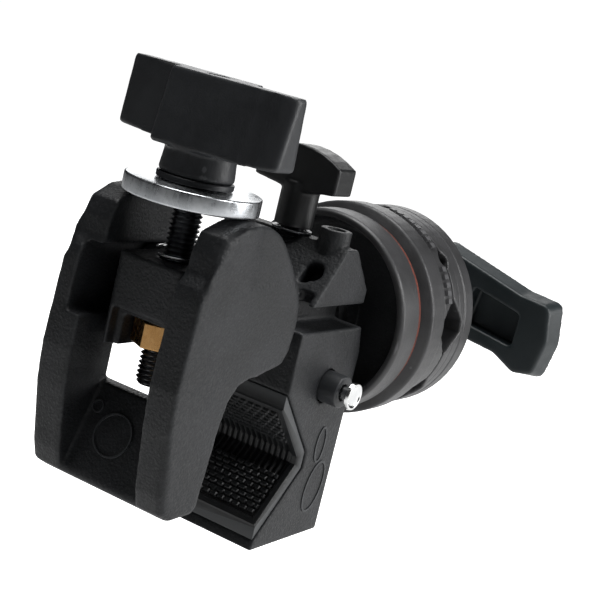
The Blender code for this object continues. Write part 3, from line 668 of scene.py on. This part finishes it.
def node_span(node, axis):
    """(start, end) of a node along x, y or z, in clamp millimetres."""
    index = "xyz".index(axis)
    low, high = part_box(node)
    return (low[index] - ORIGIN[index]) / MM, (high[index] - ORIGIN[index]) / MM


def node_radius(node, across):
    index = "xyz".index(across)
    low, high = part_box(node)
    return (high[index] - low[index]) / 2.0 / MM


def make_screw_parts():
    bottom, top = node_span("clamp_screw", "z")
    screw = threaded("screw_thread", "z", bottom, top, node_radius("clamp_screw", "y"), M8_PITCH)
    stand_for(screw, "clamp_screw")
    low, high = node_span("clamp_nut", "z")
    nut = prism("brass_nut", polygon(6, 12.96), "z", low, high)
    carve(nut, prism("nut_bore", polygon(40, 8.5), "z", low - 5.0, high + 5.0))
    stand_for(bevelled(nut, 0.35), "clamp_nut")
    low, high = node_span("jaw_washer", "z")
    radius = node_radius("jaw_washer", "y")
    profile = [(low, SCREW_HOLE_RADIUS), (low, radius), (high, radius), (high, SCREW_HOLE_RADIUS)]
    stand_for(lathe("zinc_washer", profile, "z", edge=0.55, segments=128), "jaw_washer")
    low, high = node_span("knob_washer", "z")
    radius = node_radius("knob_washer", "y")
    profile = [(low, SCREW_HOLE_RADIUS), (low, radius), (high, radius), (high, SCREW_HOLE_RADIUS)]
    stand_for(lathe("black_washer", profile, "z", edge=0.4), "knob_washer")
    low, high = node_span("jaw_spring", "z")
    coil = wire_coil("spring_wire", "z", low + 0.5, high - 0.5, 5.6, 0.42, 1.0, first=math.radians(150.0))
    stand_for(coil, "jaw_spring")
    knob = soften(copy_of("clamp_knob", "knob_moulding"), MOULDING_VOXEL, 4)
    low, high = node_span("clamp_knob", "z")
    middle = (low + high) / 2.0
    shift_points(knob, lambda x, y, z: (1.018 * x, 1.018 * y, min(high - 0.02, middle + 1.02 * (z - middle))))
    stand_for(knob, "clamp_knob")


def make_lock_parts():
    axis = ((centre_of("lock_screw")[0] - ORIGIN.x) / MM, 0.0)
    knob = soften(copy_of("lock_knob", "lock_moulding"), MOULDING_VOXEL, 4)
    knob.data.materials.clear()
    knob.data.materials.append(LOOKS["lock_plastic"])
    stand_for(knob, "lock_knob")
    low, high = node_span("lock_screw", "z")
    screw = threaded("lock_thread", "z", low, high, node_radius("lock_screw", "y"), M8_PITCH, axis)
    stand_for(screw, "lock_screw")
    low, high = node_span("lock_ring", "z")
    radius = node_radius("lock_ring", "y")
    high = low + 0.55
    radius -= 0.3
    profile = [(low, 4.2), (low, radius), (high, radius), (high, 4.2)]
    stand_for(lathe("lock_collar", profile, "z", axis, 0.25), "lock_ring")


def make_safety_parts():
    centre = ((centre_of("safety_pin")[0] - ORIGIN.x) / MM, (centre_of("safety_pin")[2] - ORIGIN.z) / MM)
    start, end = node_span("safety_pin", "y")
    head = node_radius("safety_pin", "x")
    profile = [
        (start + 0.35, 0.0),
        (start + 0.35, head - 1.3),
        (start, head - 0.9),
        (start, head - 0.25),
        (start + 1.1, head),
        (start + 1.4, PIN_RADIUS),
        (end - 1.6, PIN_RADIUS),
        (end - 1.6, 3.5),
        (end, 3.5),
        (end, 0.0),
    ]
    stand_for(lathe("pull_pin", profile, "y", centre, 0.2, 64), "safety_pin")
    start, end = node_span("safety_sleeve", "y")
    outer = node_radius("safety_sleeve", "x")
    profile = [(start, 2.35), (start, outer), (end, outer), (end, 3.9)]
    profile += [(start + 1.4, 3.9), (start + 1.4, 2.35)]
    stand_for(lathe("pin_sleeve", profile, "y", centre, 0.4, 64), "safety_sleeve")
    start, end = node_span("safety_spring", "y")
    coil = wire_coil("pin_spring", "y", start + 0.35, end - 0.35, 2.95, 0.3, 7.0, centre)
    stand_for(coil, "safety_spring")
    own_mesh(coil)


# ---------------------------------------------------------------- the grip head


def make_base():
    start, end = node_span("base_disc", "x")
    outer = node_radius("base_disc", "y")
    profile = [
        (start + 1.4, 5.3),
        (start + 1.4, 10.0),
        (end - 2.9, 11.5),
        (end - 2.9, outer - 4.7),
        (end - 4.4, outer - 3.2),
        (start, outer - 2.4),
        (start, outer - 0.9),
        (start + 1.0, outer - 0.15),
        (end - 0.5, outer),
        (end, outer - 0.4),
        (end, 5.3),
    ]
    plate = lathe("base_plate", profile, "x", edge=0.5, segments=160)
    # Painted shade: the faces inside the cup, within the rim and short of the back face, take the darker
    # casting paint so the cup's hollow looks shadowed; the outer faces keep the disc enamel.
    plate.data.materials.append(LOOKS["disc_paint"])
    plate.data.materials.append(LOOKS["cast_paint"])
    for face in plate.data.polygons:
        place = (face.center - ORIGIN) / MM
        face.material_index = int(math.hypot(place.y, place.z) < outer - 2.7 and place.x < end - 1.0)
    stand_for(plate, "base_disc")
    start, end = node_span("friction_disc", "x")
    outer = node_radius("friction_disc", "y")
    outer -= 0.55
    profile = [(start, 12.0), (start, outer), (end, outer), (end, 12.0)]
    stand_for(lathe("friction_ring", profile, "x", edge=0.15, segments=160), "friction_disc")


def make_jaw_disc(node, name, marks):
    """A grip disc, rounded at its rod grooves, with fine turned lines on its rim."""
    disc = soften(copy_of(node, name), DISC_VOXEL, 5)
    rim = node_radius(node, "y")

    def shape(x, y, z):
        radius = math.hypot(y, z)
        if radius < rim - 1.6:
            return x, y, z
        inset = marks(x)
        return x, y * (radius - inset) / radius, z * (radius - inset) / radius

    shift_points(disc, shape)
    return stand_for(disc, node)


def line_at(x, centre, width, depth):
    """The depth at x of a shallow turned line round the rim."""
    return depth * (1.0 - between(0.0, width, abs(x - centre)))


def inner_marks(x):
    return line_at(x, 96.5, 0.6, 0.3)


def outer_marks(x):
    return line_at(x, 111.1, 0.6, 0.35) + line_at(x, 107.0, 0.6, 0.12)


def make_bars():
    """The row of plain raised bars round the inner disc's band, between the rod grooves."""
    shape = bmesh.new()
    radius = node_radius("inner_jaw_disc", "y")
    for first, count in ((18.0, 5), (50.0, 8)):
        for bar in range(count):
            angles = [math.radians(first + 4.4 * bar + step * 0.85) for step in range(4)]
            rings = []
            for angle in angles:
                ring = []
                for along, reach in ((97.6, -0.8), (97.8, 0.04), (100.2, 0.04), (100.4, -0.8)):
                    distance = radius + reach
                    point = world(along, -distance * math.cos(angle), distance * math.sin(angle))
                    ring.append(shape.verts.new(point))
                rings.append(ring)
            for low, high in zip(rings, rings[1:]):
                for step in range(4):
                    after = (step + 1) % 4
                    shape.faces.new((low[step], low[after], high[after], high[step]))
            shape.faces.new(rings[0])
            shape.faces.new(list(reversed(rings[-1])))
    attach(from_bmesh("disc_plain_bars", shape, 30.0), BODY_OF["inner_jaw_disc"], "disc_paint")


def make_head():
    make_base()
    make_jaw_disc("inner_jaw_disc", "inner_grip_disc", inner_marks)
    make_jaw_disc("outer_jaw_disc", "outer_grip_disc", outer_marks)
    make_bars()
    start, end = node_span("head_spring", "x")
    coil = wire_coil("head_coil", "x", start + 0.9, end - 0.9, 8.5, 0.85, 4.0)
    coil.data.materials.append(LOOKS[SLOT_OF["head_spring"]])
    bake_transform(coil)
    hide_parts("head_spring")
    start, end = node_span("centre_bolt", "x")
    bolt = threaded("bolt_thread", "x", start, end, node_radius("centre_bolt", "y"), M10_PITCH)
    stand_for(bolt, "centre_bolt")
    stand_for(soften(copy_of("grip_handle", "handle_moulding"), CASTING_VOXEL, 5), "grip_handle")
    for node in ("thrust_washer", "thrust_bearing"):
        start, end = node_span(node, "x")
        radius = node_radius(node, "y")
        profile = [(start, BOLT_HOLE_RADIUS), (start, radius), (end, radius), (end, BOLT_HOLE_RADIUS)]
        stand_for(lathe(f"{node}_ring", profile, "x", edge=0.3), node)


# ---------------------------------------------------------------- the studio


def soft_light(name, place, size, power):
    """A round area light that points at the object's middle."""
    lamp = bpy.data.lights.new(name, "AREA")
    lamp.shape = "DISK"
    lamp.size = size
    lamp.energy = power
    light = bpy.data.objects.new(name, lamp)
    light.location = place
    aim = Vector((0.01, 0.0, 0.03)) - Vector(place)
    light.rotation_euler = aim.to_track_quat("-Z", "Y").to_euler()
    light.visible_camera = False
    bpy.context.scene.collection.objects.link(light)


def make_studio():
    """A pale floor, a white sky that lights the object only faintly, and four soft lights."""
    low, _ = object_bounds()
    shape = bmesh.new()
    reach, floor_z = 6.0, low[2] - 0.09
    corners = ((-reach, -reach), (reach, -reach), (reach, reach), (-reach, reach))
    shape.faces.new([shape.verts.new((x, y, floor_z)) for x, y in corners])
    floor = from_bmesh("studio_floor", shape)
    paper = Surface("pale_paper", 0.9)
    paper.colour(paper.mix(paper.ramp(paper.noise(30.0), 0.3, 0.7), (0.93, 0.93, 0.93), (0.96, 0.96, 0.96)))
    seen = paper.node("ShaderNodeLightPath").outputs["Is Camera Ray"]
    paper.shader.inputs["Emission Color"].default_value = (1.0, 1.0, 1.0, 1.0)
    paper.tree.links.new(seen, paper.shader.inputs["Emission Strength"])
    floor.data.materials.append(paper.material)
    sky = bpy.data.worlds.new("studio")
    sky.use_nodes = True
    background = sky.node_tree.nodes["Background"]
    background.inputs["Color"].default_value = (1.0, 1.0, 1.0, 1.0)
    path = sky.node_tree.nodes.new("ShaderNodeLightPath")
    strength = sky.node_tree.nodes.new("ShaderNodeMapRange")
    strength.inputs["To Min"].default_value = 0.035
    strength.inputs["To Max"].default_value = 1.1
    sky.node_tree.links.new(path.outputs["Is Camera Ray"], strength.inputs["Value"])
    sky.node_tree.links.new(strength.outputs["Result"], background.inputs["Strength"])
    bpy.context.scene.world = sky
    soft_light("key", (0.15, -0.95, 0.7), 0.4, 7.2)
    soft_light("side", (0.6, -0.85, 0.2), 0.5, 4.0)
    soft_light("top", (0.05, 0.1, 1.0), 0.6, 9.0)
    soft_light("back", (0.95, 0.55, 0.42), 0.7, 2.6)


def make_camera():
    """The photograph's view: 11 degrees down on the jaw's front, rolled by 13.7 degrees."""
    azimuth, down, roll = math.radians(-59.96), math.radians(11.11), math.radians(13.66)
    level = Vector((-math.sin(azimuth), math.cos(azimuth), 0.0))
    forward = level * math.cos(down) - Vector((0.0, 0.0, math.sin(down)))
    right = forward.cross(Vector((0.0, 0.0, 1.0))).normalized()
    up = right.cross(forward)
    image_right = right * math.cos(roll) + up * math.sin(roll)
    image_up = up * math.cos(roll) - right * math.sin(roll)
    data = bpy.data.cameras.new("camera")
    data.sensor_width = 36.0
    data.lens = 83.58
    data.clip_start = 0.01
    camera = bpy.data.objects.new("camera", data)
    turn = Matrix((image_right, image_up, -forward)).transposed().to_4x4()
    camera.matrix_world = Matrix.Translation(world(-280.13, -199.15, 81.36)) @ turn
    bpy.context.scene.collection.objects.link(camera)
    bpy.context.scene.camera = camera


make_camera()
dress_cad_nodes()
make_body()
make_jaw()
make_pad()
make_screw_parts()
make_lock_parts()
make_safety_parts()
make_head()
make_studio()
view_settings = bpy.context.scene.view_settings
view_settings.view_transform = "Standard"
view_settings.look = "None"
